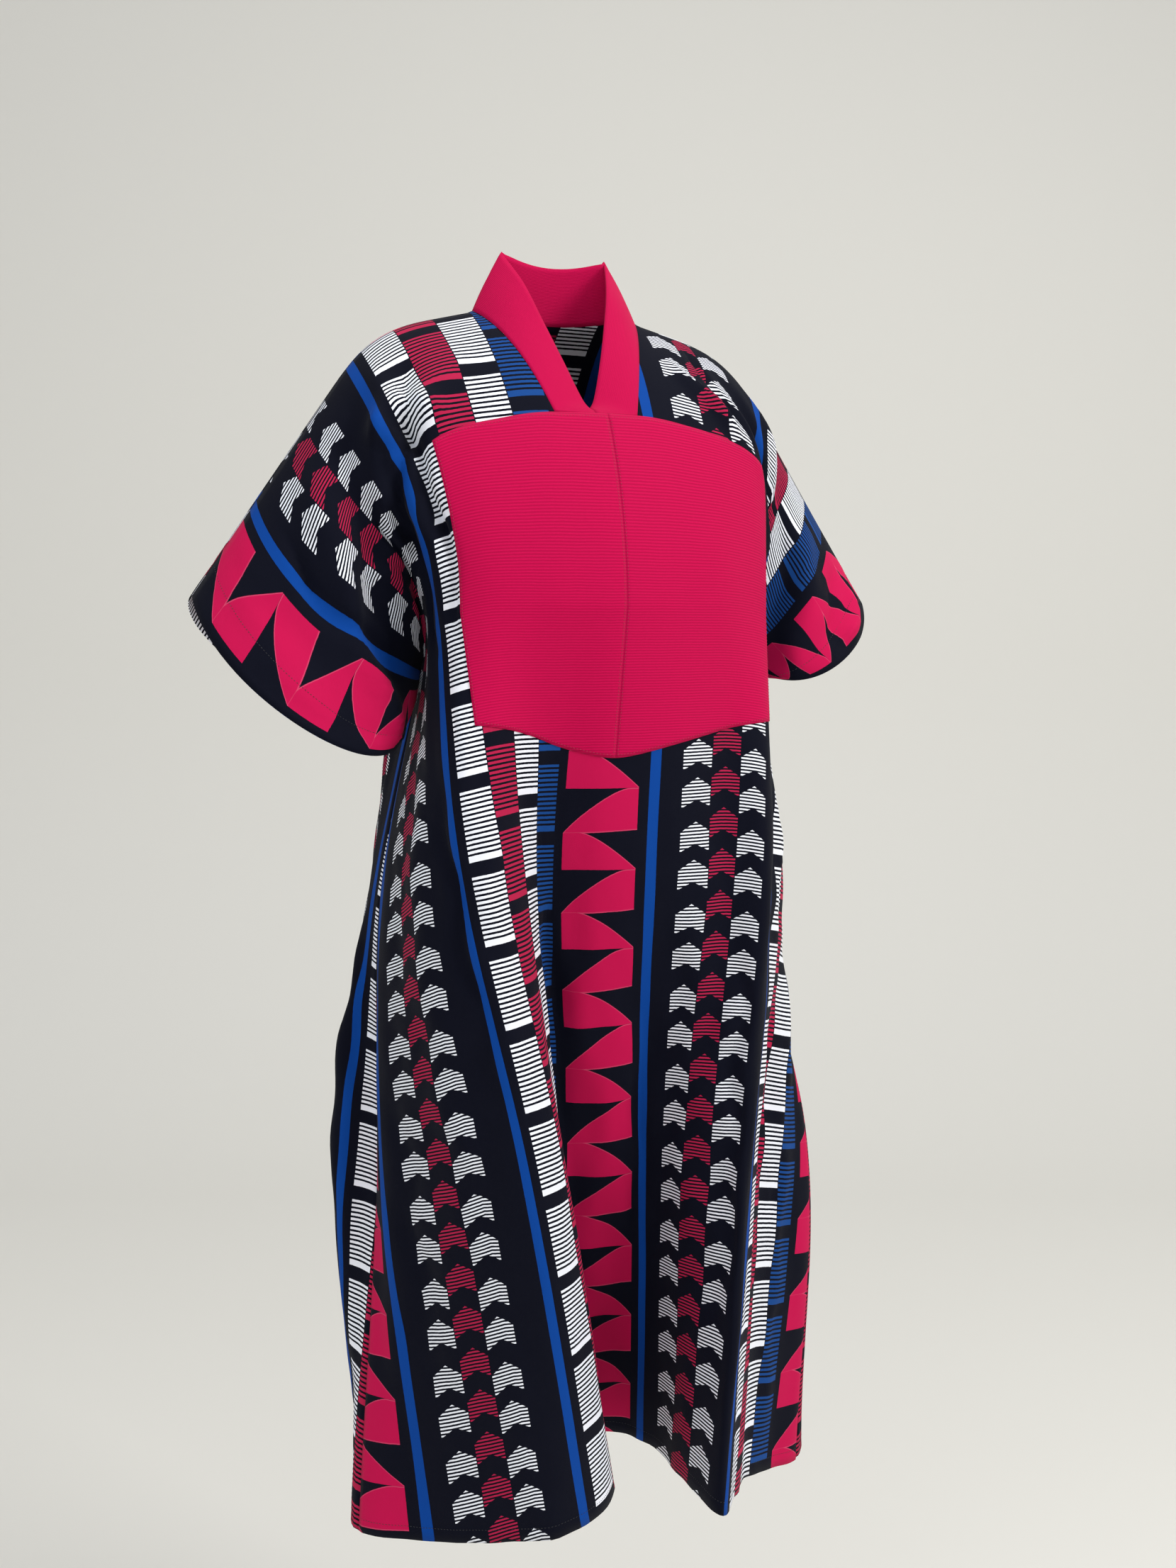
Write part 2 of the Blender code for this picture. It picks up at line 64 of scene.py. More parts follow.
# each fold: flat place on the shoulder line, then flat place, x and y at the four levels
frontFolds = (
    (-41.0, (-41.0, -13.7, 2.2), (-43.1, -17.8, 2.4), (-45.7, -17.7, 3.5), (-49.0, -20.4, 1.3)),
    (-37.0, (-38.0, -14.1, 0.3), (-38.6, -18.2, -1.7), (-41.6, -18.6, -0.5), (-41.6, -15.0, -4.4)),
    (-31.0, (-32.0, -14.5, -2.3), (-33.2, -17.9, -6.3), (-35.0, -16.0, -7.2), (-33.2, -9.2, -9.3)),
    (-26.0, (-26.0, -15.3, -5.3), (-27.0, -16.8, -11.1), (-28.0, -12.3, -12.0), (-27.0, -5.0, -11.8)),
    (-22.0, (-21.5, -15.2, -9.0), (-22.0, -14.8, -13.6), (-22.0, -8.6, -14.6), (-21.5, -0.4, -10.6)),
    (-18.5, (-16.0, -12.8, -11.2), (-17.0, -10.9, -13.2), (-17.0, -4.9, -12.4), (-17.2, 3.3, -6.7)),
    (-8.9, (-10.0, -7.7, -12.5), (-11.3, -6.9, -9.5), (-11.0, -2.9, -7.0), (-10.4, 2.0, -0.2)),
    (-4.7, (-5.0, -3.8, -13.1), (-5.5, -4.2, -8.6), (-5.0, -1.0, -3.7), (-4.2, 3.0, 5.2)),
    (1.25, (1.0, 1.0, -13.4), (0.5, 0.2, -10.6), (1.2, 3.9, -5.0), (1.9, 8.3, 3.6)),
    (4.7, (8.0, 7.4, -12.6), (8.0, 6.9, -11.3), (8.0, 8.2, -6.0), (7.6, 10.4, -0.2)),
    (8.9, (14.0, 13.7, -11.0), (14.3, 13.0, -10.6), (15.6, 11.5, -10.6), (14.6, 10.2, -7.2)),
    (21.0, (19.0, 19.1, -7.9), (20.3, 17.2, -12.2), (20.8, 14.4, -13.2), (22.6, 10.3, -15.0)),
    (25.5, (25.0, 21.0, -4.2), (27.0, 20.8, -7.1), (28.0, 18.2, -8.5), (30.0, 14.3, -10.9)),
    (30.5, (31.0, 19.2, -1.6), (32.6, 24.7, -3.0), (35.6, 22.6, -4.3), (37.0, 18.4, -5.8)),
    (36.5, (37.0, 18.8, 0.6), (38.6, 24.6, 2.0), (41.5, 26.1, -2.3), (43.0, 22.7, -3.3)),
    (41.0, (41.0, 19.4, 2.2), (43.1, 24.0, 5.2), (45.7, 29.0, -0.4), (49.0, 27.5, -1.3)),
)
backFolds = (
    (35.0, (35.0, 19.4, 5.6), (38.0, 24.4, 8.6), (41.0, 29.6, 3.6), (44.0, 30.0, 2.6)),
    (28.0, (28.0, 17.2, 8.6), (31.5, 20.4, 10.8), (34.0, 27.0, 8.6), (37.0, 27.0, 7.8)),
    (21.0, (21.0, 15.0, 10.6), (24.5, 17.4, 12.4), (27.0, 21.4, 10.6), (29.0, 20.4, 9.4)),
    (14.0, (14.0, 11.4, 12.6), (17.0, 14.4, 15.2), (19.0, 17.0, 15.4), (20.5, 17.4, 16.4)),
    (7.5, (7.0, 6.6, 13.2), (9.0, 8.8, 14.2), (11.0, 11.4, 14.4), (12.0, 10.6, 16.8)),
    (1.0, (1.0, 1.4, 13.2), (2.0, 3.4, 13.2), (3.5, 4.8, 12.6), (4.5, 4.0, 12.4)),
    (-6.0, (-6.0, -4.4, 13.2), (-6.0, -2.4, 15.6), (-5.0, -1.6, 17.2), (-5.0, -1.2, 20.4)),
    (-13.0, (-13.0, -9.6, 12.6), (-14.0, -8.4, 14.4), (-14.0, -8.2, 14.4), (-14.5, -9.4, 17.2)),
    (-20.0, (-20.0, -12.8, 11.0), (-21.0, -12.2, 12.0), (-22.0, -12.8, 11.6), (-22.0, -12.4, 11.4)),
    (-27.0, (-27.0, -13.9, 8.6), (-28.5, -15.4, 11.2), (-30.0, -17.4, 11.6), (-30.5, -15.0, 13.6)),
    (-34.0, (-34.0, -13.9, 5.8), (-36.0, -17.2, 7.0), (-38.5, -20.6, 7.2), (-40.0, -17.6, 7.4)),
)

# underarm corner of each cuff, and the way the cloth leaves and meets it on each panel
sleeves = {
    -1: {"corner": (-17.2, -1.2, -39.5), "front": ((-2, -36, -30), (1, 31, 26)),
         "back": ((-2, 30, -12), (2, -30, 14))},
    1: {"corner": (22.6, -1.0, -35.5), "front": ((-10, -26, -16), (-3, 27, 10)),
        "back": ((-4, 28, -8), (-3, -28, 10))},
}

# right half of the band collar: flat place of its base, then its free edge
collarFront = (
    (-8.9, 0.0, (-5.6, 0.6, 6.1)),
    (-7.9, 3.1, (-4.5, -2.2, 2.8)),
    (-6.8, 6.5, (-3.3, -4.2, -1.2)),
    (-5.8, 9.6, (-2.0, -6.0, -5.2)),
    (-4.7, 13.0, (-0.7, -7.4, -8.9)),
    (0.0, 13.0, (0.0, -7.9, -10.1)),
)


def ease(t):
    t = min(max(t, 0.0), 1.0)
    return t * t * (3.0 - 2.0 * t)


def easeOver(value, stretch):
    low, high = stretch
    return ease((value - low) / (high - low))


def mix(a, b, share):
    return a + (b - a) * share


def easeArray(t):
    t = np.clip(t, 0.0, 1.0)
    return t * t * (3.0 - 2.0 * t)


def hermite(start, leave, end, arrive, t):
    return (start * (2 * t**3 - 3 * t**2 + 1) + leave * (t**3 - 2 * t**2 + t)
            + end * (3 * t**2 - 2 * t**3) + arrive * (t**3 - t**2))


def through(places, points, place):
    last = len(places) - 1
    i = 0
    while i < last - 1 and place > places[i + 1]:
        i += 1

    def slope(k):
        if k == 0:
            return (points[1] - points[0]) / (places[1] - places[0])
        if k == last:
            return (points[last] - points[last - 1]) / (places[last] - places[last - 1])
        before = places[k] - places[k - 1]
        after = places[k + 1] - places[k]
        return ((points[k] - points[k - 1]) / before * after
                + (points[k + 1] - points[k]) / after * before) / (before + after)

    span = places[i + 1] - places[i]
    return hermite(points[i], slope(i) * span, points[i + 1], slope(i + 1) * span,
                   (place - places[i]) / span)


def sideHalf(v):
    share = (v - cut["sleeveDepth"]) / (cut["length"] - cut["sleeveDepth"])
    return mix(cut["underarmHalf"], cut["hemHalf"], share)


def foldAt(fold, v):
    return through(hang["levels"], [Vector(c) for c in fold[1:]], v)


rings = {}


def ring(v):
    key = round(v, 5)
    if key not in rings:
        half = sideHalf(v)
        front = [foldAt(fold, v) for fold in frontFolds]
        front[0][0] = -half
        front[-1][0] = half
        places = [p[0] for p in front]
        points = [Vector((p[1], p[2])) for p in front]
        for fold in backFolds:
            p = foldAt(fold, v)
            places.append(2 * half - p[0])
            points.append(Vector((p[1], p[2])))
        whole = 4 * half
        places = [p - whole for p in places[-2:]] + places + [p + whole for p in places[:3]]
        rings[key] = (places, points[-2:] + points + points[:3])
    return rings[key]


def bodyPoint(u, v, face):
    places, points = ring(v)
    half = sideHalf(v)
    place = u if face == "front" else 2 * half - u
    if place > 3 * half:
        place -= 4 * half
    plan = through(places, points, place)
    hemDrop = hang["rightHemDrop"] if u < 0 else hang["leftHemDrop"]
    share = easeOver(v, hang["dropOver"])
    sagFrom = mix(*hang["sagFrom"], share)
    sag = mix(hang["underarmDrop"], hemDrop, share) * ease((abs(u) - sagFrom) / hang["sagOver"])
    return Vector((plan.x, plan.y, -v - sag))


shoulderPoints = {}


def shoulderPoint(u):
    key = round(u, 5)
    if key not in shoulderPoints:
        steps = 40
        step = abs(u) / steps
        x, z = 0.0, hang["neckLevel"]
        for k in range(steps):
            middle = (k + 0.5) * step
            slope = radians(hang["shoulderSlope"] * easeOver(middle, hang["shoulderBend"])
                            + hang["sleeveSlope"] * easeOver(middle, hang["sleeveBend"]))
            length = step * (1 - hang["takeUp"] * easeOver(middle, hang["takeUpOver"]))
            x += length * cos(slope)
            z -= length * sin(slope)
        shoulderPoints[key] = Vector((-x if u < 0 else x, hang["seamY"], z))
    return shoulderPoints[key]


feet = {}


def yokeEnds(u, face):
    key = (round(u, 5), face)
    if key not in feet:
        side = -1 if u < 0 else 1
        out = -1.0 if face == "front" else 1.0
        across = abs(u)
        sleeve = sleeves[side]
        if across <= cut["underarmHalf"]:
            foot = bodyPoint(u, cut["sleeveDepth"], face)
        else:
            armpit = bodyPoint(side * cut["underarmHalf"], cut["sleeveDepth"], face)
            share = (across - cut["underarmHalf"]) / (cut["halfSpan"] - cut["underarmHalf"])
            foot = armpit.lerp(Vector(sleeve["corner"]), share)
        cuffOut, cuffIn = (Vector(c) for c in sleeve[face])
        chestOut = Vector((0.0, out * hang["chestOut"][0], hang["chestOut"][1]))
        chestIn = Vector((0, 0, -cut["sleeveDepth"]))
        leave = chestOut.lerp(cuffOut, easeOver(across, hang["sleeveBlend"]))
        arrive = chestIn.lerp(cuffIn, easeOver(across, hang["underarmBlend"]))
        feet[key] = (shoulderPoint(u), leave, foot, arrive)
    return feet[key]


def clothPoint(u, v, face):
    if v <= cut["sleeveDepth"]:
        start, leave, foot, arrive = yokeEnds(u, face)
        return hermite(start, leave, foot, arrive, v / cut["sleeveDepth"])
    return bodyPoint(u, v, face)


def bibShare(u):
    return min(abs(u - cut["bibCentre"]) / cut["bibHalf"], 1.0)


def bibTop(u):
    return cut["bibTop"] + cut["bibTopFall"] * bibShare(u) ** 2


def bibBottom(u):
    away = bibShare(u) * cut["bibHalf"]
    rounded = (away**2 + cut["bibPointRound"]**2) ** 0.5 - cut["bibPointRound"]
    return cut["bibBottom"] - cut["bibBottomRise"] * rounded / cut["bibHalf"]


def neckEdge(u, face):
    across = abs(u)
    if across >= cut["neckHalf"]:
        return 0.0
    if face == "back":
        return cut["backNeckDepth"] * (1 - (across / cut["neckHalf"]) ** 2)
    share = (cut["neckHalf"] - across) / (cut["neckHalf"] - cut["neckFootHalf"])
    return bibTop(u) * min(share, 1.0)


# mesh fineness: columns between folds, and rows in the four stretches down the cloth
grain = {
    "front": (9, 9, 7, 6, 6, 13, 8, 9, 7, 8, 16, 8, 7, 8, 9),
    "back": (10, 9, 9, 9, 9, 9, 9, 9, 9, 9, 9, 10),
    "sleeve": 14, "top": 18, "chest": 22, "waist": 19, "skirt": 84, "wall": 0.0007,
    "reach": 0.25, "weld": 0.000002,
}


def columnsAt(folds, subdivide, v):
    share = easeOver(v, hang["swingOver"])
    level = max(v, hang["swingOver"][0])
    places = [mix(fold[0], foldAt(fold, level)[0], share) for fold in folds]
    half = sideHalf(max(v, cut["sleeveDepth"]))
    side = -1 if places[0] < 0 else 1
    places[0] = side * half
    places[-1] = -side * half
    columns = []
    for start, end, count in zip(places, places[1:], subdivide):
        columns += [mix(start, end, k / count) for k in range(count)]
    return columns + [places[-1]]


def panelRows(face):
    folds = frontFolds if face == "front" else frontFolds[-1:] + backFolds + frontFolds[:1]
    side = -1 if folds[0][0] < 0 else 1
    ends = grain["sleeve"]
    sleeve = [side * mix(cut["halfSpan"], cut["underarmHalf"], k / ends) for k in range(ends)]
    rows = []

    def addRows(count, start, end, withSleeves):
        for j in range(0 if not rows else 1, count + 1):
            share = j / count
            middle = mix(start(cut["halfSpan"]), end(cut["halfSpan"]), share)
            body = columnsAt(folds, grain[face], middle)
            line = sleeve + body + [-u for u in reversed(sleeve)]
            row = [(u, mix(start(u), end(u), share)) for u in line]
            if not withSleeves:
                row[:ends] = [None] * ends
                row[-ends:] = [None] * ends
            rows.append(row)

    top = bibTop if face == "front" else lambda u: cut["bibTop"]
    bottom = bibBottom if face == "front" else lambda u: cut["bibBottom"] - cut["bibBottomRise"]
    addRows(grain["top"], lambda u: neckEdge(u, face), top, True)
    addRows(grain["chest"], top, lambda u: cut["sleeveDepth"], True)
    addRows(grain["waist"], lambda u: cut["sleeveDepth"], bottom, False)
    addRows(grain["skirt"], bottom, lambda u: cut["length"], False)
    return rows


# soft creases: from (u, v) to (u, v), half width, height out of the cloth
frontCreases = (
    (-22, 5, -18.5, 34, 0.8, -0.75), (-25, 6, -21, 32, 1.1, 0.5), (-29, 11, -24, 33, 0.9, -0.55),
    (-29, 11, -34, 28, 0.7, -0.6), (-36, 12, -33, 26, 1.0, 0.45), (-40, 3, -43, 25, 0.9, -0.35),
    (-27, 9.5, -16, 14, 0.45, -0.55), (-27, 7.5, -15, 12, 1.1, 0.5), (-31, 12, -22, 19, 0.9, 0.3),
    (13, 2, 21, 14, 0.6, -0.5), (10, 5, 19, 15, 0.9, 0.3), (28, 8, 25, 32, 1.0, 0.3),
    (33, 8, 30, 27, 0.8, -0.4), (46, 3, 48, 14, 0.8, -0.6), (49, 2, 51, 12, 0.9, 0.5),
    (-12, 4, -27, 27, 1.6, 0.55), (-15, 3, -31, 24, 1.3, -0.5), (-19, 2, -36, 24, 1.8, 0.5),
    (-24, 2, -42, 22, 1.5, -0.45), (-30, 3, -47, 19, 2.0, 0.4), (-44, 4, -50, 22, 1.4, -0.4),
    (-36, 8, -52, 27, 1.2, 0.35), (13, 5, 29, 28, 1.8, 0.5), (17, 3, 34, 26, 1.4, -0.45),
    (23, 2, 39, 23, 1.8, 0.45), (30, 3, 45, 20, 1.5, -0.4), (38, 4, 50, 22, 1.7, 0.4),
    (-21, 33, -19, 62, 1.8, 0.35), (-25, 40, -24, 84, 1.5, -0.4), (-30, 34, -31, 96, 2.0, 0.4),
    (-6, 48, -7, 110, 1.6, -0.35), (-2, 60, -1, 115, 2.2, 0.3), (6, 50, 5, 112, 1.8, -0.3),
    (12, 47, 13, 100, 2.2, 0.35), (18, 52, 19, 115, 1.6, -0.35), (27, 38, 28, 84, 1.6, 0.4),
    (33, 34, 34, 110, 2.0, -0.4), (38, 46, 40, 115, 1.7, 0.35), (-37, 44, -39, 110, 1.8, -0.35),
    (-10, 20, -16, 36, 2.6, 0.18), (10, 20, 17, 37, 2.6, 0.18), (-3, 18, -4, 42, 3.0, -0.12),
)
backCreases = (
    (-14, 4, -30, 28, 1.8, 0.6), (-20, 3, -37, 26, 1.5, -0.5), (-28, 3, -45, 22, 1.9, 0.5),
    (-38, 5, -50, 22, 1.5, -0.4), (13, 4, 29, 28, 1.8, 0.6), (20, 3, 36, 26, 1.5, -0.5),
    (28, 3, 45, 22, 1.9, 0.5), (38, 5, 50, 22, 1.5, -0.4), (-24, 24, -25, 70, 1.5, 0.7),
    (-19, 18, -18, 64, 1.3, -0.6), (-9, 16, -10, 60, 1.6, 0.5), (-3, 20, -2, 72, 1.4, -0.6),
    (4, 16, 4, 66, 1.6, 0.6), (10, 18, 11, 60, 1.4, -0.6), (17, 20, 17, 72, 1.5, 0.6),
    (24, 22, 25, 66, 1.4, -0.6), (31, 26, 33, 84, 1.7, 0.6), (-31, 28, -33, 90, 1.6, -0.5),
    (-11, 66, -10, 112, 1.8, 0.4), (8, 70, 9, 115, 1.8, -0.4), (26, 74, 28, 115, 1.8, 0.4),
    (-26, 72, -27, 115, 1.7, -0.4), (38, 56, 41, 112, 1.8, -0.4), (-38, 50, -41, 115, 1.9, 0.4),
)
creaseWander = {
    "depth": 1.7, "wave": 11.0, "sway": 0.7, "swayStep": 1.9, "uneven": 0.45, "swell": 8.03,
    "swellStep": 2.7, "widen": 0.3, "widenWave": 9.0, "fadeIn": 0.3, "fadeOut": 0.35,
}
# small ripples: strength, then for each of two crossed waves its rate along u, along v, and its start
ripples = (
    (1.0, (0.83, 0.05, 0.0), (0.11, 0.19, 1.3)),
    (0.5, (1.7, -0.09, 2.0), (0.0, 0.33, 0.7)),
)
rippleFade = {"height": 0.10, "side": 4.0, "sideOver": 10.0, "down": 44.0, "downOver": 12.0}
# how seams, hems and the bib calm the creases beside them, in cm
calm = {
    "seam": 2.5, "seamDip": 0.14, "seamDipWidth": 0.45, "neckDown": 12.5, "neckFrom": 0.5, "neckOver": 5.0,
    "underBib": 0.22, "bibFrom": 0.3, "bibOver": 2.2, "bibFoot": 2.0,
    "hemDip": 0.05, "hemDipWidth": 0.35, "cuffDip": 0.07, "cuffDipWidth": 0.4, "far": 99.0,
}


def handCreases(u, v, face):
    height = np.zeros_like(u)
    rows = frontCreases if face == "front" else backCreases
    for k, (u0, v0, u1, v1, width, rise) in enumerate(rows):
        along = np.array((u1 - u0, v1 - v0), float)
        length = np.hypot(*along)
        along /= length
        t = (u - u0) * along[0] + (v - v0) * along[1]
        side = (u - u0) * along[1] - (v - v0) * along[0]
        sway = t / creaseWander["wave"] * 2 * pi + k * creaseWander["swayStep"]
        side = side + creaseWander["sway"] * np.sin(sway)
        ends = easeArray(t / (length * creaseWander["fadeIn"]))
        ends *= easeArray((length - t) / (length * creaseWander["fadeOut"]))
        swell = t / creaseWander["swell"] + k * creaseWander["swellStep"]
        swell = 1 + creaseWander["uneven"] * np.sin(swell)
        breadth = width * (1 + creaseWander["widen"] * np.sin(t / creaseWander["widenWave"] + k))
        height += creaseWander["depth"] * rise * ends * swell * np.exp(-(side / breadth) ** 2)
    return height


def smallRipple(u, v):
    # the chest stays smooth
    ripple = np.zeros_like(u)
    for strength, *waves in ripples:
        first, second = (np.sin(u * rateU + v * rateV + start) for rateU, rateV, start in waves)
        ripple += strength * first * second
    fromSide = (np.abs(u) - rippleFade["side"]) / rippleFade["sideOver"]
    fromChest = (v - rippleFade["down"]) / rippleFade["downOver"]
    return rippleFade["height"] * ripple * easeArray(fromSide + fromChest)


def creaseHeight(u, v, face):
    # u and v are arrays, the height comes back in cm
    height = handCreases(u, v, face) + smallRipple(u, v)
    if face == "front":
        # the bib holds the cloth under it flatter
        beside = np.abs(u - cut["bibCentre"]) - cut["bibHalf"]
        out = np.maximum(np.maximum(beside, cut["bibTop"] - v), v - cut["bibBottom"] + calm["bibFoot"])
        clear = easeArray((out + calm["bibFrom"]) / calm["bibOver"])
        height *= calm["underBib"] + (1 - calm["underBib"]) * clear
    # the cloth dips where it is sewn
    half = np.where(v < cut["sleeveDepth"], cut["halfSpan"] * 2, 0) + cut["underarmHalf"]
    half = np.where(v >= cut["sleeveDepth"], sideHalf(v), half)
    toSide = half - np.abs(u)
    toTop = np.where(np.abs(u) > cut["neckHalf"], v, calm["far"])
    toArm = np.where(np.abs(u) > cut["underarmHalf"], np.abs(cut["sleeveDepth"] - v), calm["far"])
    nearest = np.minimum(np.minimum(toSide, toTop), toArm)
    height *= easeArray(nearest / calm["seam"])
    toNeck = np.hypot(np.maximum(np.abs(u) - cut["neckFootHalf"], 0), np.maximum(v - calm["neckDown"], 0))
    kept = 0.0 if face == "front" else 1.0
    height *= easeArray((toNeck - calm["neckFrom"]) / calm["neckOver"] + kept)
    height -= calm["seamDip"] * np.exp(-(nearest / calm["seamDipWidth"]) ** 2)
    # the stitched hems draw in a little
    hemLine = np.abs(v - (cut["length"] - cut["hemTurn"]))
    cuffLine = np.abs(np.abs(u) - (cut["halfSpan"] - cut["cuffTurn"]))
    height -= calm["hemDip"] * np.exp(-(hemLine / calm["hemDipWidth"]) ** 2)
    height -= calm["cuffDip"] * np.exp(-(cuffLine / calm["cuffDipWidth"]) ** 2)
    return height


# the left shoulder is drawn in towards the neck, and the sleeve takes up the slack
tuck = {
    "pull": 1.5, "from": 12.0, "over": 5.0, "giveBack": 26.0, "giveOver": 18.0,
    "down": 9.0, "reach": 6.0, "sleeveReach": 10.0, "sleeveFrom": 20.0, "sleeveOver": 4.0,
}


def slack(u, v, face):
    if face == "back" or u < tuck["from"]:
        return 0.0
    reach = tuck["reach"] + tuck["sleeveReach"] * ease((u - tuck["sleeveFrom"]) / tuck["sleeveOver"])
    pull = tuck["pull"] * ease((u - tuck["from"]) / tuck["over"])
    given = 1 - ease((u - tuck["giveBack"]) / tuck["giveOver"])
    return -pull * given * (1 - ease((v - tuck["down"]) / reach))


def outOf(u, v, face, reach):
    across = clothPoint(u + reach, v, face) - clothPoint(u - reach, v, face)
    down = clothPoint(u, v + reach, face) - clothPoint(u, v - reach, face)
    normal = across.cross(down).normalized()
    return -normal if face == "front" else normal


def surfaceGrid(rows, face, lift):
    points = np.zeros((len(rows), len(rows[0]), 3))
    flat = np.zeros((len(rows), len(rows[0]), 2))
    normals = np.zeros_like(points)
    held = np.zeros((len(rows), len(rows[0])), bool)
    for j, row in enumerate(rows):
        for k, place in enumerate(row):
            if place is not None:
                u, v = place
                points[j, k] = clothPoint(u + slack(u, v, face), v, face)
                normals[j, k] = outOf(u, v, face, grain["reach"])
                flat[j, k] = place
                held[j, k] = True
    height = creaseHeight(flat[..., 0], flat[..., 1], face) + lift
    return points + normals * height[..., None], flat, held


def clothMesh(name, points, flat, held, thickness):
    mesh = bpy.data.meshes.new(name)
    work = bmesh.new()
    place = work.verts.layers.float_vector.new("flat")
    corners = []
    for j in range(points.shape[0]):
        line = []
        for k in range(points.shape[1]):
            corner = None
            if held[j, k]:
                corner = work.verts.new(points[j, k] * cm)
                corner[place] = (flat[j, k, 0], flat[j, k, 1], 0)
            line.append(corner)
        corners.append(line)
    for upper, lower in zip(corners, corners[1:]):
        for k in range(len(upper) - 1):
            quad = (upper[k], upper[k + 1], lower[k + 1], lower[k])
            if None not in quad:
                work.faces.new(quad)
    bmesh.ops.remove_doubles(work, verts=work.verts[:], dist=grain["weld"])
    bmesh.ops.recalc_face_normals(work, faces=work.faces[:])
    unwrap = work.loops.layers.uv.new("flat cut")
    for side in work.faces:
        side.smooth = True
        for loop in side.loops:
            spot = loop.vert[place]
            loop[unwrap].uv = (spot[0] * cm, spot[1] * cm)
    work.to_mesh(mesh)
    work.free()
    mesh.attributes.remove(mesh.attributes["flat"])
    piece = bpy.data.objects.new(name, mesh)
    bpy.context.scene.collection.objects.link(piece)
    bpy.ops.object.select_all(action="DESELECT")
    bpy.context.view_layer.objects.active = piece
    piece.select_set(True)
    wall = piece.modifiers.new("wall", "SOLIDIFY")
    wall.thickness = thickness
    wall.offset = 0.0
    bpy.ops.object.modifier_apply(modifier=wall.name)
    return piece


def panelPiece(name, face):
    points, flat, held = surfaceGrid(panelRows(face), face, 0.0)
    piece = clothMesh(name, points, flat, held, grain["wall"])
    print(name, "laid out,", len(piece.data.polygons), "faces")
    return piece


bib = {"lift": 0.13, "wall": 0.0009, "columns": 44, "rows": 66, "seamGap": 0.01, "edgeRoll": 0.06,
       "seamRoll": 0.01}


def bibPiece(name, half):
    inner = cut["bibCentre"] + half * bib["seamGap"] / 2
    outer = cut["bibCentre"] + half * cut["bibHalf"]
    rows = []
    for j in range(bib["rows"] + 1):
        row = []
        for k in range(bib["columns"] + 1):
            u = mix(inner, outer, k / bib["columns"])
            row.append((u, mix(bibTop(u), bibBottom(u), j / bib["rows"])))
        rows.append(row)
    points, flat, held = surfaceGrid(rows, "front", bib["lift"])
    # the sewn edges roll down to the cloth under them
    j, k = np.meshgrid(np.arange(bib["rows"] + 1), np.arange(bib["columns"] + 1), indexing="ij")
    edge = np.minimum(np.minimum(j, bib["rows"] - j), np.minimum(k, bib["columns"] - k))
    roll = np.where(edge == 0, bib["edgeRoll"], 0.0)
    points[..., 1] += np.where(k == 0, bib["seamRoll"], roll)
    piece = clothMesh(name, points, flat, held, bib["wall"])
    print(name, "laid out,", len(piece.data.polygons), "faces")
    return piece


collar = {"backRise": 5.8, "backLean": 0.6, "backStations": 9, "bands": 12, "fine": 7,
          "wall": 0.0016, "bulge": 0.18, "axisY": 1.0, "flare": 0.35, "frontGap": 0.012, "width": 5.0}


def collarStations():
    right = []
    for flat, down, edge in reversed(collarFront):
        right.append(((flat, down), "front", Vector(edge)))
    shoulderEdge = right[-1][2]
    back = []
    for k in range(1, collar["backStations"] + 1):
        share = k / (collar["backStations"] + 1)
        u = mix(-cut["neckHalf"], cut["neckHalf"], share)
        base = clothPoint(u, neckEdge(u, "back"), "back")
        around = radians(180 * share)
        turn = sin(around)
        edge = Vector((shoulderEdge.x * cos(around),
                       mix(shoulderEdge.y, base.y - collar["backLean"], turn),
                       mix(shoulderEdge.z, base.z + collar["backRise"], turn)))
        back.append(((u, neckEdge(u, "back")), "back", edge))
    left = [((-flat, down), "front", Vector((-edge[0], edge[1], edge[2])))
            for flat, down, edge in collarFront]
    return right + back + left


def collarPiece(name):
    stations = collarStations()
    edges = [station[2] for station in stations]
    last = len(stations) - 1
    places = list(range(last + 1))
    columns = collar["fine"] * last + 1
    points = np.zeros((collar["bands"] + 1, columns, 3))
    flat = np.zeros((collar["bands"] + 1, columns, 2))
    run = 0.0
    before = None
    for k in range(columns):
        place = k / collar["fine"]
        i = min(int(place), last - 1)
        start, startFace, _ = stations[i]
        end, endFace, _ = stations[i + 1]
        face = "back" if "back" in (startFace, endFace) else "front"
        share = place - i
        base = clothPoint(mix(start[0], end[0], share), mix(start[1], end[1], share), face)
        edge = through(places, edges, place)
        middle = (base + edge) / 2
        if before is not None:
            run += (middle - before).length
        before = middle
        outward = Vector((middle.x, middle.y - collar["axisY"], collar["flare"] * abs(middle.z) + 1))
        outward.normalize()
        for j in range(collar["bands"] + 1):
            across = j / collar["bands"]
            point = base.lerp(edge, across) + outward * (collar["bulge"] * sin(pi * across))
            if place in (0, last):
                point.x = collar["frontGap"] * (1 if place else -1)
            points[j, k] = point
            flat[j, k] = (run, across * collar["width"])
    held = np.ones(points.shape[:2], bool)
    piece = clothMesh(name, points, flat, held, collar["wall"])
    print(name, "laid out,", len(piece.data.polygons), "faces, base", round(run, 1), "cm round")
    return piece


def calc(tree, operation, *values, clamp=False):
    node = tree.nodes.new("ShaderNodeMath")
    node.operation = operation
    node.use_clamp = clamp
    for k, value in enumerate(values):
        if isinstance(value, (int, float)):
            node.inputs[k].default_value = value
        else:
            tree.links.new(value, node.inputs[k])
    return node.outputs[0]


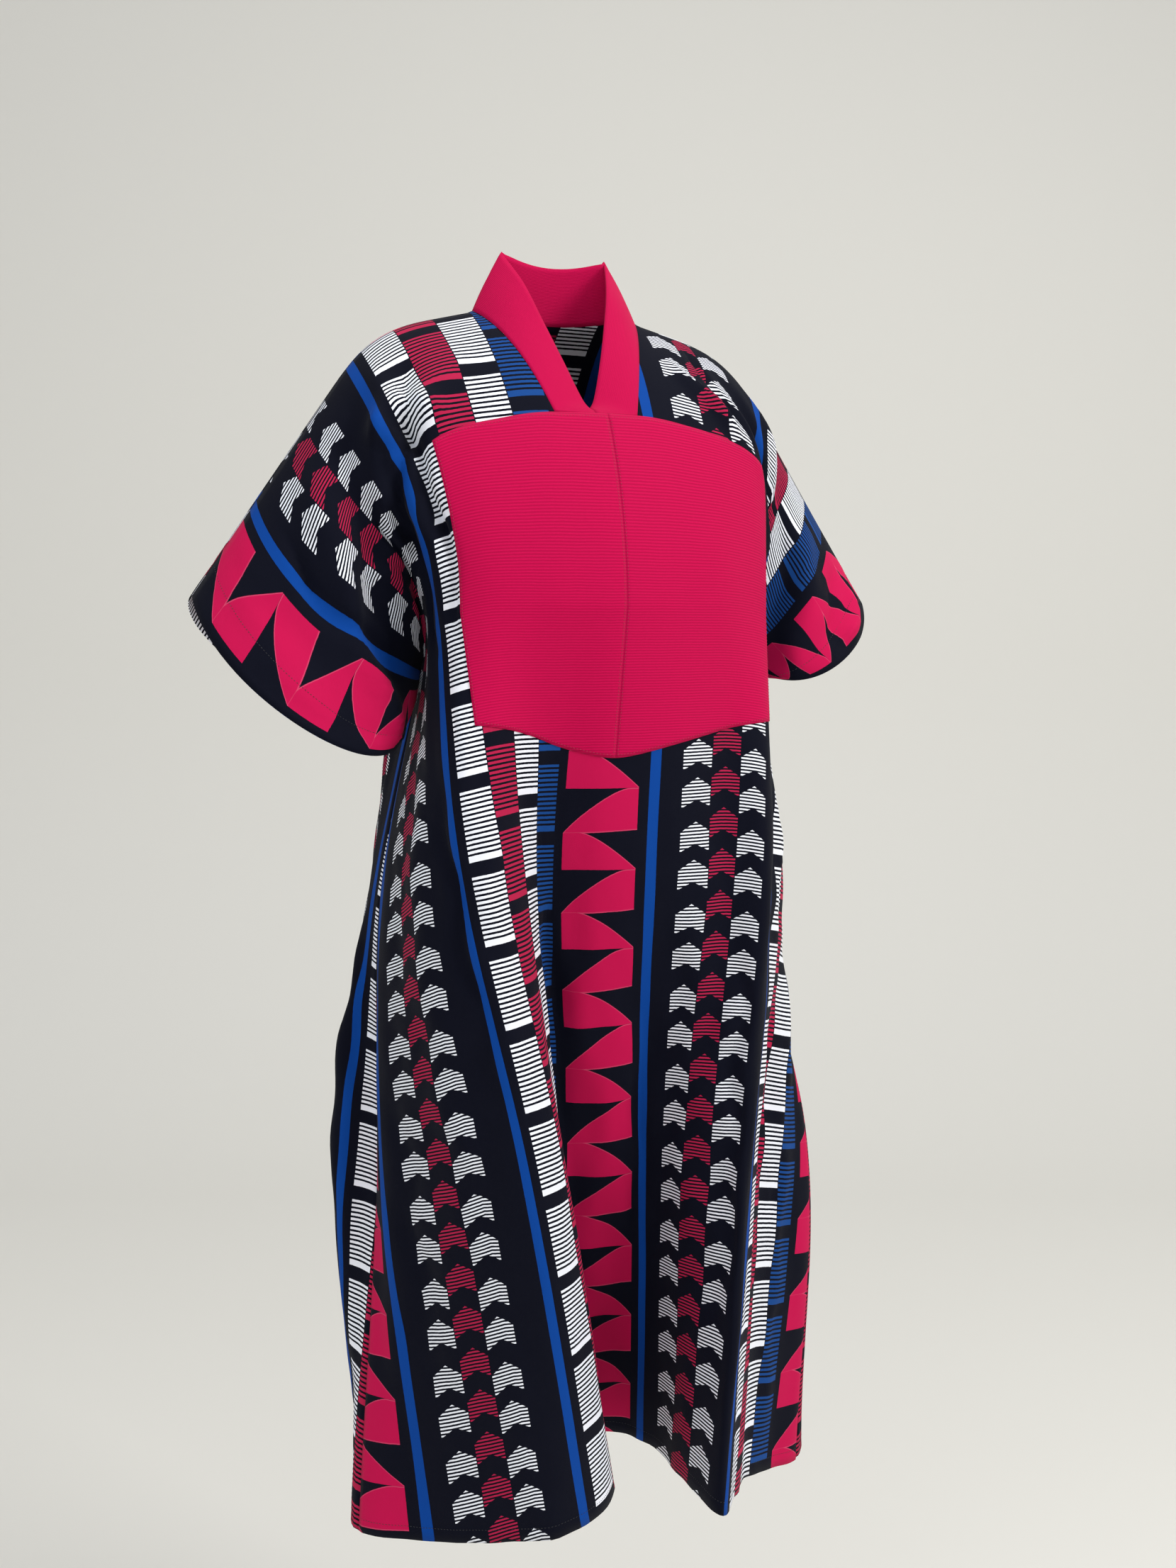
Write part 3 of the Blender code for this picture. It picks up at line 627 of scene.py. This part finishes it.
def paint(tree, under, over, mask):
    node = tree.nodes.new("ShaderNodeMix")
    node.data_type = "RGBA"
    for socket, value in ((node.inputs[6], under), (node.inputs[7], over)):
        if isinstance(value, tuple):
            socket.default_value = (*value, 1.0)
        else:
            tree.links.new(value, socket)
    tree.links.new(mask, node.inputs[0])
    return node.outputs[2]


def within(tree, value, low, high, soft=0.03):
    # 1 between low and high, with a slightly soft edge
    rising = calc(tree, "DIVIDE", calc(tree, "SUBTRACT", value, low - soft / 2), soft, clamp=True)
    falling = calc(tree, "DIVIDE", calc(tree, "SUBTRACT", high + soft / 2, value), soft, clamp=True)
    return calc(tree, "MULTIPLY", rising, falling)


def below(tree, value, limit, soft=0.03):
    gap = calc(tree, "SUBTRACT", limit, value)
    return calc(tree, "ADD", calc(tree, "DIVIDE", gap, soft), 0.5, clamp=True)


def both(tree, *masks):
    result = masks[0]
    for mask in masks[1:]:
        result = calc(tree, "MULTIPLY", result, mask)
    return result


def either(tree, *masks):
    result = masks[0]
    for mask in masks[1:]:
        result = calc(tree, "MAXIMUM", result, mask)
    return result


def colour(r, g, b):
    # screen colour to linear
    return tuple(c / 255 / 12.92 if c < 11 else ((c / 255 + 0.055) / 1.055) ** 2.4
                 for c in (r, g, b))


printLayout = {
    "across": 47.65, "down": 8.0, "start": -4.15,
    "teeth": (-4.15, 4.15), "lines": ((5.35, 6.55), (23.65, 24.85)),
    "arrows": ((9.1, 12.5, "white", 0.0), (12.6, 16.05, "red", 2.8), (16.15, 19.6, "white", 0.8)),
    "blocks": ((26.1, 30.05, "white", 3.5), (30.15, 34.25, "red", 0.0), (34.35, 38.25, "white", -1.5),
               (38.35, 42.3, "blue", 2.3)),
    "teethStart": 6.95, "teethDown": 7.85, "arrowStart": 1.8, "blockStart": 2.95,
    "blockDown": 7.85, "blockHeight": 6.5, "barPitch": 0.455, "barShare": 0.55,
    "arrowPitch": 4.0, "arrowSides": 1.95, "arrowPeak": 0.95, "arrowNotch": 0.75, "inkPitch": 0.33,
    "inkShare": 0.5, "footBar": 0.42, "barEdge": 0.025, "whiteUneven": 0.3, "wander": 0.05,
    "wanderScale": 260,
}
# dark teeth: share of the column each reaches across, its curve, and share of the repeat it takes
teeth = {
    "leftReach": 0.87, "leftCurve": 1.5, "leftDepth": 0.54, "rightFrom": 0.22, "rightCurve": 1.45,
    "rightTop": 0.55, "rightTopSlope": 0.035, "rightDepth": 0.46, "rightFoot": 0.53, "touch": 0.002,
    "outline": (-0.09, -0.01), "edge": 0.05, "outlineStrength": 0.35,
}
# the right half of the front hangs a little off the straight grain
offStraight = {"near": 29.0, "far": 40.0, "level": 34.0, "full": 70.0, "from": 4.75}
wear = {"patch": 38, "patchShare": 0.16, "threadShare": 0.04, "share": 0.22, "shade": colour(52, 56, 74)}
weave = {"slub": 900, "threads": 0.3, "depth": 0.0004, "pitch": 0.0007, "strength": 0.35}

cotton = {"printedRoughness": 0.8, "ribbedRoughness": 0.78, "sheen": 0.03, "sheenRoughness": 0.45,
          "specular": 0.08}

inks = {
    "ground": colour(6, 8, 23), "teeth": colour(196, 14, 76), "red": colour(180, 30, 72),
    "white": colour(240, 242, 250), "blue": colour(22, 70, 138), "cobalt": colour(4, 66, 150),
    "outline": colour(226, 110, 140),
}


def clothBase(name, roughness):
    material = bpy.data.materials.new(name)
    material.use_nodes = True
    tree = material.node_tree
    surface = tree.nodes["Principled BSDF"]
    surface.inputs["Roughness"].default_value = roughness
    surface.inputs["Sheen Weight"].default_value = cotton["sheen"]
    surface.inputs["Sheen Roughness"].default_value = cotton["sheenRoughness"]
    surface.inputs["Specular IOR Level"].default_value = cotton["specular"]
    coords = tree.nodes.new("ShaderNodeUVMap")
    coords.uv_map = "flat cut"
    split = tree.nodes.new("ShaderNodeSeparateXYZ")
    tree.links.new(coords.outputs[0], split.inputs[0])
    return material, tree, surface, coords.outputs[0], split.outputs[0], split.outputs[1]


def noiseValue(tree, vector, scale, detail=2.0):
    node = tree.nodes.new("ShaderNodeTexNoise")
    node.inputs["Scale"].default_value = scale
    node.inputs["Detail"].default_value = detail
    tree.links.new(vector, node.inputs["Vector"])
    return node.outputs[0]


def addWeave(tree, surface, coords, across, down, pitch, strength, extra=None):
    # plain weave: threads cross at a fine pitch, thick and thin by noise
    warp = calc(tree, "SINE", calc(tree, "MULTIPLY", across, 2 * pi / pitch))
    weft = calc(tree, "SINE", calc(tree, "MULTIPLY", down, 2 * pi / pitch))
    threads = calc(tree, "MULTIPLY", warp, weft)
    slub = noiseValue(tree, coords, weave["slub"], 3.0)
    height = calc(tree, "ADD", calc(tree, "MULTIPLY", threads, weave["threads"]), slub)
    if extra is not None:
        height = calc(tree, "ADD", height, extra)
    bump = tree.nodes.new("ShaderNodeBump")
    bump.inputs["Strength"].default_value = strength
    bump.inputs["Distance"].default_value = weave["depth"]
    tree.links.new(height, bump.inputs["Height"])
    tree.links.new(bump.outputs[0], surface.inputs["Normal"])
    return threads


def teethMask(tree, x, v):
    # x runs 0 to 1 over the column, t down one repeat
    t = calc(tree, "SUBTRACT", v, printLayout["teethStart"])
    t = calc(tree, "FLOORED_MODULO", t, printLayout["teethDown"])
    t = calc(tree, "DIVIDE", t, printLayout["teethDown"])
    reach = calc(tree, "SUBTRACT", 1.0, calc(tree, "DIVIDE", x, teeth["leftReach"]), clamp=True)
    leftEdge = calc(tree, "MULTIPLY", calc(tree, "POWER", reach, teeth["leftCurve"]), teeth["leftDepth"])
    leftEdge = calc(tree, "ADD", leftEdge, teeth["touch"])
    left = calc(tree, "SUBTRACT", leftEdge, t)
    run = calc(tree, "SUBTRACT", x, teeth["rightFrom"])
    run = calc(tree, "DIVIDE", run, 1 - teeth["rightFrom"], clamp=True)
    rightEdge = calc(tree, "MULTIPLY", calc(tree, "POWER", run, teeth["rightCurve"]), teeth["rightDepth"])
    rightEdge = calc(tree, "ADD", rightEdge, teeth["rightFoot"])
    slope = calc(tree, "MULTIPLY", run, teeth["rightTopSlope"])
    above = calc(tree, "SUBTRACT", t, calc(tree, "SUBTRACT", teeth["rightTop"], slope))
    right = calc(tree, "MINIMUM", calc(tree, "SUBTRACT", rightEdge, t), above)
    # above 0 inside a dark tooth, in repeats
    dark = calc(tree, "MAXIMUM", left, right)
    distance = calc(tree, "MULTIPLY", dark, printLayout["down"])
    outline = within(tree, distance, *teeth["outline"], teeth["edge"])
    return below(tree, distance, 0.0, teeth["edge"]), outline


def blockMask(tree, v, phase):
    t = calc(tree, "FLOORED_MODULO", calc(tree, "SUBTRACT", v, printLayout["blockStart"] + phase),
             printLayout["blockDown"])
    block = within(tree, t, 0.0, printLayout["blockHeight"])
    bar = calc(tree, "FLOORED_MODULO", t, printLayout["barPitch"])
    inked = printLayout["barPitch"] * printLayout["barShare"]
    stripes = within(tree, bar, 0.0, inked, printLayout["barEdge"])
    foot = within(tree, t, printLayout["blockHeight"] - printLayout["footBar"], printLayout["blockHeight"])
    return both(tree, block, either(tree, stripes, foot))


def arrowMask(tree, x, v, phase, uneven):
    # x runs 0 to 1 across the column
    slant = calc(tree, "ABSOLUTE", calc(tree, "MULTIPLY", calc(tree, "SUBTRACT", x, 0.5), 2.0))
    place = calc(tree, "SUBTRACT", v, printLayout["arrowStart"] + phase)
    t = calc(tree, "FLOORED_MODULO", place, printLayout["down"])
    second = calc(tree, "GREATER_THAN", t, printLayout["arrowPitch"] - uneven)
    t = calc(tree, "SUBTRACT", t, calc(tree, "MULTIPLY", second, printLayout["arrowPitch"] - uneven))
    roof = calc(tree, "MULTIPLY", slant, printLayout["arrowPeak"])
    notch = calc(tree, "SUBTRACT", slant, 1.0)
    foot = calc(tree, "ADD", calc(tree, "MULTIPLY", notch, printLayout["arrowNotch"]),
                printLayout["arrowPeak"] + printLayout["arrowSides"])
    solid = both(tree, calc(tree, "GREATER_THAN", t, roof), calc(tree, "LESS_THAN", t, foot))
    bar = calc(tree, "FLOORED_MODULO", t, printLayout["inkPitch"])
    inked = printLayout["inkPitch"] * printLayout["inkShare"]
    return both(tree, solid, within(tree, bar, 0.0, inked, printLayout["barEdge"]))


def offGrain(tree, u, v, lean):
    side = calc(tree, "MULTIPLY", u, -1.0)
    place = calc(tree, "MAXIMUM", side, offStraight["near"])
    place = calc(tree, "MINIMUM", place, offStraight["far"])
    tilt = calc(tree, "MULTIPLY", calc(tree, "SUBTRACT", place, offStraight["level"]), lean)
    tilt = calc(tree, "MULTIPLY", tilt, calc(tree, "DIVIDE", v, offStraight["full"], clamp=True))
    return calc(tree, "MULTIPLY", tilt, calc(tree, "GREATER_THAN", side, offStraight["from"]))


def printedCotton(name, direction, shift, lean):
    material, tree, surface, coords, across, down = clothBase(name, cotton["printedRoughness"])
    # the print wanders by a hair, as on real cloth
    drift = calc(tree, "SUBTRACT", noiseValue(tree, coords, printLayout["wanderScale"]), 0.5)
    drift = calc(tree, "MULTIPLY", drift, printLayout["wander"])
    u = calc(tree, "MULTIPLY", across, 100.0 * direction)
    v = calc(tree, "ADD", calc(tree, "MULTIPLY", down, 100.0), drift)
    if lean:
        v = calc(tree, "SUBTRACT", v, offGrain(tree, u, v, lean))
    u = calc(tree, "ADD", calc(tree, "ADD", u, shift - printLayout["start"]), drift)
    s = calc(tree, "FLOORED_MODULO", u, printLayout["across"])
    s = calc(tree, "ADD", s, printLayout["start"])
    look = inks["ground"]
    for low, high in printLayout["lines"]:
        look = paint(tree, look, inks["cobalt"], within(tree, s, low, high))
    low, high = printLayout["teeth"]
    x = calc(tree, "DIVIDE", calc(tree, "SUBTRACT", s, low), high - low)
    ink, outline = teethMask(tree, x, v)
    column = within(tree, s, low, high)
    look = paint(tree, look, inks["teeth"], both(tree, column, ink))
    look = paint(tree, look, inks["outline"], both(tree, column, outline, teeth["outlineStrength"]))
    for low, high, ink, phase in printLayout["arrows"]:
        x = calc(tree, "DIVIDE", calc(tree, "SUBTRACT", s, low), high - low)
        mask = arrowMask(tree, x, v, phase, printLayout["whiteUneven"] if ink == "white" else 0.0)
        look = paint(tree, look, inks[ink], both(tree, within(tree, s, low, high), mask))
    for low, high, ink, phase in printLayout["blocks"]:
        mask = blockMask(tree, v, phase)
        look = paint(tree, look, inks[ink], both(tree, within(tree, s, low, high), mask))
    threads = addWeave(tree, surface, coords, across, down, weave["pitch"], weave["strength"])
    fade = calc(tree, "MULTIPLY", noiseValue(tree, coords, wear["patch"], 4.0), wear["patchShare"])
    fade = calc(tree, "ADD", fade, calc(tree, "MULTIPLY", threads, wear["threadShare"]), clamp=True)
    washed = paint(tree, look, wear["shade"], calc(tree, "MULTIPLY", fade, wear["share"]))
    tree.links.new(washed, surface.inputs["Base Color"])
    return material


# light and dark: rib ridge and rib groove colours; the step between them is painted shade
ribbed = {
    "light": colour(206, 6, 78), "dark": colour(160, 3, 58), "patch": colour(186, 6, 70),
    "patchShare": 0.22, "patchScale": 26, "wanderScale": 30, "slubScale": 700,
    "contrast": 0.6, "base": 0.35, "relief": 1.6, "weave": 0.0008,
}


def ribbedCotton(name, pitch, strength, wander):
    material, tree, surface, coords, across, down = clothBase(name, cotton["ribbedRoughness"])
    drift = calc(tree, "SUBTRACT", noiseValue(tree, coords, ribbed["wanderScale"], 1.0), 0.5)
    drift = calc(tree, "MULTIPLY", drift, wander)
    wave = calc(tree, "SINE", calc(tree, "MULTIPLY", calc(tree, "ADD", down, drift), 2 * pi / pitch))
    rib = calc(tree, "ADD", calc(tree, "MULTIPLY", wave, 0.5), 0.5)
    slub = noiseValue(tree, coords, ribbed["slubScale"])
    broken = calc(tree, "MULTIPLY", rib, calc(tree, "ADD", slub, 0.5))
    # painted shade: rib grooves darker and ridges lighter, broken by random slub tone
    ribShadeAndSlub = calc(tree, "ADD", calc(tree, "MULTIPLY", broken, ribbed["contrast"]), ribbed["base"])
    look = paint(tree, ribbed["dark"], ribbed["light"], ribShadeAndSlub)
    patch = noiseValue(tree, coords, ribbed["patchScale"], 4.0)
    patch = calc(tree, "MULTIPLY", patch, ribbed["patchShare"])
    look = paint(tree, look, ribbed["patch"], patch)
    tree.links.new(look, surface.inputs["Base Color"])
    relief = calc(tree, "MULTIPLY", rib, ribbed["relief"])
    addWeave(tree, surface, coords, across, down, ribbed["weave"], strength, relief)
    return material


thread = {"roughness": 0.55, "sheen": 0.15, "twistScale": 2600, "dark": 0.6}


def threadMaterial(name, shade):
    material = bpy.data.materials.new(name)
    material.use_nodes = True
    tree = material.node_tree
    surface = tree.nodes["Principled BSDF"]
    surface.inputs["Roughness"].default_value = thread["roughness"]
    surface.inputs["Sheen Weight"].default_value = thread["sheen"]
    place = tree.nodes.new("ShaderNodeTexCoord")
    twist = noiseValue(tree, place.outputs["Object"], thread["twistScale"])
    darker = tuple(c * thread["dark"] for c in shade)
    tree.links.new(paint(tree, darker, shade, twist), surface.inputs["Base Color"])
    return material


# sizes in cm: each stitch, how far it is looked for, and how far rows lie from the edges
stitch = {
    "pitch": 0.32, "length": 0.23, "thick": 0.035, "reach": 0.4, "from": 1.2, "search": 2.5,
    "sink": 0.35, "tip": 0.6, "besideEdge": 0.3, "besideSeam": 0.25, "besideEnd": 0.4,
}
# straight runs that each row of stitches is laid out in
guideRuns = {"bibAcross": 40, "bibOuter": 50, "bibCentre": 60, "hem": 240, "cuff": 70}


def stitchRun(name, cloth, guide, material):
    # guide: short straight runs near the cloth, in cm, each with its way out of the cloth
    skin = BVHTree.FromPolygons([tuple(v.co) for v in cloth.data.vertices],
                                [tuple(f.vertices) for f in cloth.data.polygons])
    mesh = bpy.data.meshes.new(name)
    work = bmesh.new()
    left = stitch["pitch"] / 2
    for (start, end), outwards in guide:
        length = (end - start).length
        if length == 0:
            continue
        at = left
        heading = (end - start) / length
        while at < length:
            middle = start + heading * at
            at += stitch["pitch"]
            above = (middle + outwards * stitch["from"]) * cm
            found = skin.ray_cast(above, -outwards, stitch["search"] * cm)
            if found[0] is None:
                continue
            normal = found[1] if found[1].dot(outwards) > 0 else -found[1]
            along = (heading - normal * heading.dot(normal)).normalized()
            side = normal.cross(along)
            half = along * stitch["length"] / 2 * cm
            wide = side * stitch["thick"] * cm
            high = normal * stitch["thick"] * cm
            centre = found[0] + high * stitch["sink"]
            waist = [work.verts.new(centre + w) for w in (wide, high, -wide, -high)]
            low = centre - high * stitch["tip"]
            tips = [work.verts.new(low - half), work.verts.new(low + half)]
            for k in range(4):
                work.faces.new((waist[k], waist[(k + 1) % 4], tips[1]))
                work.faces.new((waist[(k + 1) % 4], waist[k], tips[0]))
        left = at - length
    bmesh.ops.recalc_face_normals(work, faces=work.faces[:])
    for side in work.faces:
        side.smooth = True
    work.to_mesh(mesh)
    work.free()
    mesh.materials.append(material)
    piece = bpy.data.objects.new(name, mesh)
    bpy.context.scene.collection.objects.link(piece)
    print(name, "sewn,", len(mesh.polygons) // 8, "stitches")
    return piece


def sewAlong(places, face):
    # short straight pieces, each with its own way out of the cloth
    runs = []
    for (u0, v0), (u1, v1) in zip(places, places[1:]):
        out = outOf((u0 + u1) / 2, (v0 + v1) / 2, face, stitch["reach"])
        runs.append(([clothPoint(u0, v0, face), clothPoint(u1, v1, face)], out))
    return runs


def spread(start, end, count):
    return [mix(start, end, k / count) for k in range(count + 1)]


frontPanel = panelPiece("front_cloth", "front")
backPanel = panelPiece("back_cloth", "back")
collarBand = collarPiece("collar_cloth")
bibRight = bibPiece("bib_right_cloth", -1)
bibLeft = bibPiece("bib_left_cloth", 1)

frontPanel.data.materials.append(
    printedCotton("printed cotton front", direction=1.0, shift=0.0, lean=0.2))
backPanel.data.materials.append(
    printedCotton("printed cotton back", direction=-1.0, shift=-16.2, lean=0.0))
magenta = ribbedCotton("ribbed magenta cotton", pitch=0.0026, strength=0.5, wander=0.0012)
collarCloth = ribbedCotton("fine magenta cotton", pitch=0.0012, strength=0.35, wander=0.0008)
bibRight.data.materials.append(magenta)
bibLeft.data.materials.append(magenta)
collarBand.data.materials.append(collarCloth)

for piece, node, slot in ((frontPanel, "front_panel", "front_print"),
                          (backPanel, "back_panel", "back_print"),
                          (collarBand, "collar_band", "collar_cloth"),
                          (bibRight, "bib_right_half", "bib_right_cloth"),
                          (bibLeft, "bib_left_half", "bib_left_cloth")):
    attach(piece, "root")
    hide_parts(node)

pinkThread = threadMaterial("magenta thread", colour(176, 12, 66))
darkThread = threadMaterial("dark thread", colour(16, 18, 26))


def bibStitches(name, half, cloth):
    # one row inside each edge of the half, and one beside the centre seam
    edge = stitch["besideEdge"]
    inner = cut["bibCentre"] + half * stitch["besideSeam"]
    outer = cut["bibCentre"] + half * (cut["bibHalf"] - edge)
    across = spread(inner, outer, guideRuns["bibAcross"])
    runs = sewAlong([(u, bibTop(u) + edge) for u in across], "front")
    runs += sewAlong([(u, bibBottom(u) - edge) for u in across], "front")
    for u, count in ((outer, guideRuns["bibOuter"]), (inner, guideRuns["bibCentre"])):
        runs += sewAlong([(u, v) for v in spread(bibTop(u) + edge, bibBottom(u) - edge, count)], "front")
    return stitchRun(name, cloth, runs, pinkThread)


def hemStitches(name, face, cloth):
    # body hem, then both sleeve hems
    level = cut["length"] - cut["hemTurn"]
    gap = stitch["besideEnd"]
    half = sideHalf(level) - gap
    runs = sewAlong([(u, level) for u in spread(-half, half, guideRuns["hem"])], face)
    for side in (-1, 1):
        u = side * (cut["halfSpan"] - cut["cuffTurn"])
        down = spread(gap, cut["sleeveDepth"] - gap, guideRuns["cuff"])
        runs += sewAlong([(u, v) for v in down], face)
    return stitchRun(name, cloth, runs, darkThread)


bibRightStitches = bibStitches("bib_right_stitches", -1, bibRight)
bibLeftStitches = bibStitches("bib_left_stitches", 1, bibLeft)
frontStitches = hemStitches("front_hem_stitches", "front", frontPanel)
backStitches = hemStitches("back_hem_stitches", "back", backPanel)
for piece, slot in ((bibRightStitches, "bib_right_cloth"), (bibLeftStitches, "bib_left_cloth"),
                    (frontStitches, "front_print"), (backStitches, "back_print")):
    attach(piece, "root")

studio = {"floorZ": -1.62, "wallY": 3.4, "sweep": 1.2, "pale": colour(229, 227, 221),
          "half": 16.0, "wallTop": 8.0, "turn": -24.0, "matt": 0.9,
          "sky": (0.92, 0.94, 0.96), "skyStrength": 0.55}


def studioFloor():
    # floor that sweeps up into a wall
    steps = 12
    profile = [(-studio["half"], studio["floorZ"])]
    for k in range(steps + 1):
        turn = radians(90 * k / steps)
        profile.append((studio["wallY"] - studio["sweep"] + studio["sweep"] * sin(turn),
                        studio["floorZ"] + studio["sweep"] * (1 - cos(turn))))
    profile.append((studio["wallY"], studio["wallTop"]))
    mesh = bpy.data.meshes.new("floor")
    verts = []
    for x in (-studio["half"], studio["half"]):
        verts += [(x, y, z) for y, z in profile]
    count = len(profile)
    faces = [(k, k + count, k + count + 1, k + 1) for k in range(count - 1)]
    mesh.from_pydata(verts, [], faces)
    mesh.shade_smooth()
    floor = bpy.data.objects.new("floor", mesh)
    floor.rotation_euler = (0, 0, radians(studio["turn"]))
    bpy.context.scene.collection.objects.link(floor)
    material = bpy.data.materials.new("pale floor")
    material.use_nodes = True
    surface = material.node_tree.nodes["Principled BSDF"]
    surface.inputs["Base Color"].default_value = (*studio["pale"], 1)
    surface.inputs["Roughness"].default_value = studio["matt"]
    mesh.materials.append(material)


def softLight(name, place, aim, size, power, tint):
    light = bpy.data.lights.new(name, "AREA")
    light.shape = "RECTANGLE"
    light.size = size[0]
    light.size_y = size[1]
    light.energy = power
    light.color = tint
    lamp = bpy.data.objects.new(name, light)
    lamp.location = place
    lamp.rotation_euler = (Vector(aim) - Vector(place)).to_track_quat("-Z", "Y").to_euler()
    bpy.context.scene.collection.objects.link(lamp)


studioFloor()
# each lamp: place, aim, size across and up, watts, tint
softLight("window", (2.2, -2.6, 1.3), (0, 0, -0.55), (1.5, 1.8), 88, (1.0, 0.99, 0.97))
softLight("fill", (-2.8, -1.8, 0.2), (0, 0, -0.6), (2.0, 2.4), 30, (0.96, 0.98, 1.0))
softLight("top", (0.2, -0.4, 2.4), (0, 0, -0.4), (2.4, 2.0), 40, (1, 1, 1))

world = bpy.data.worlds.new("studio")
bpy.context.scene.world = world
world.use_nodes = True
sky = world.node_tree.nodes["Background"]
sky.inputs[0].default_value = (*studio["sky"], 1)
sky.inputs[1].default_value = studio["skyStrength"]

view = {"place": (-0.691, -1.553, -0.31), "turn": -24.0, "lens": 38.86, "sensor": 36.0,
        "shift": (0.02, -0.10)}
lensData = bpy.data.cameras.new("camera")
lensData.sensor_fit = "VERTICAL"
lensData.sensor_height = view["sensor"]
lensData.lens = view["lens"]
lensData.shift_x, lensData.shift_y = view["shift"]
camera = bpy.data.objects.new("camera", lensData)
camera.location = view["place"]
camera.rotation_euler = (radians(90), 0, radians(view["turn"]))
bpy.context.scene.collection.objects.link(camera)
bpy.context.scene.camera = camera
bpy.context.scene.view_settings.view_transform = "Standard"
